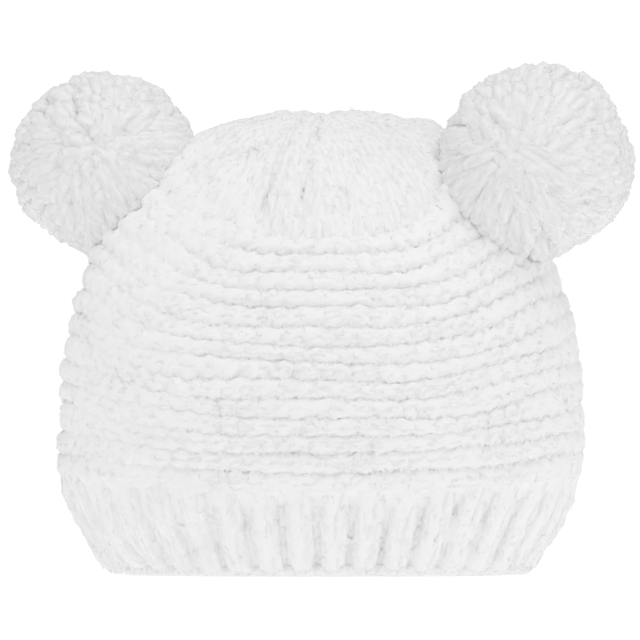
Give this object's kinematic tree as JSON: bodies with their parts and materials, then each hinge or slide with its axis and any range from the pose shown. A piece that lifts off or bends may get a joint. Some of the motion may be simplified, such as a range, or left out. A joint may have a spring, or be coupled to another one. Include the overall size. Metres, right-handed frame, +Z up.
{
  "type": "double pom-pom hat",
  "caption": "Child's chunky hand-knitted hat: ribbed brim, bowed garter ridges, gathered crown, and a round yarn pompom tied on at each shoulder.",
  "frame": {"origin": "on the surface that the hat stands on, under the middle of its width and depth", "axes": "+X towards the right pompom as seen from the front, -Y out of the front, +Z up"},
  "size_m": [0.2389, 0.15, 0.1941],
  "materials": {
    "knitted_yarn": "soft brushed white yarn, matt, with a halo of fine fibre",
    "pompom_yarn": "plush white yarn cut into tufts, matt and a little greyer in its depths"
  },
  "bodies": {
    "root": {"ribbed_brim": "knitted_yarn", "garter_body": "knitted_yarn", "gathered_crown": "knitted_yarn", "left_pompom": "pompom_yarn", "right_pompom": "pompom_yarn", "left_tie": "knitted_yarn", "right_tie": "knitted_yarn"}
  },
  "joints": []
}
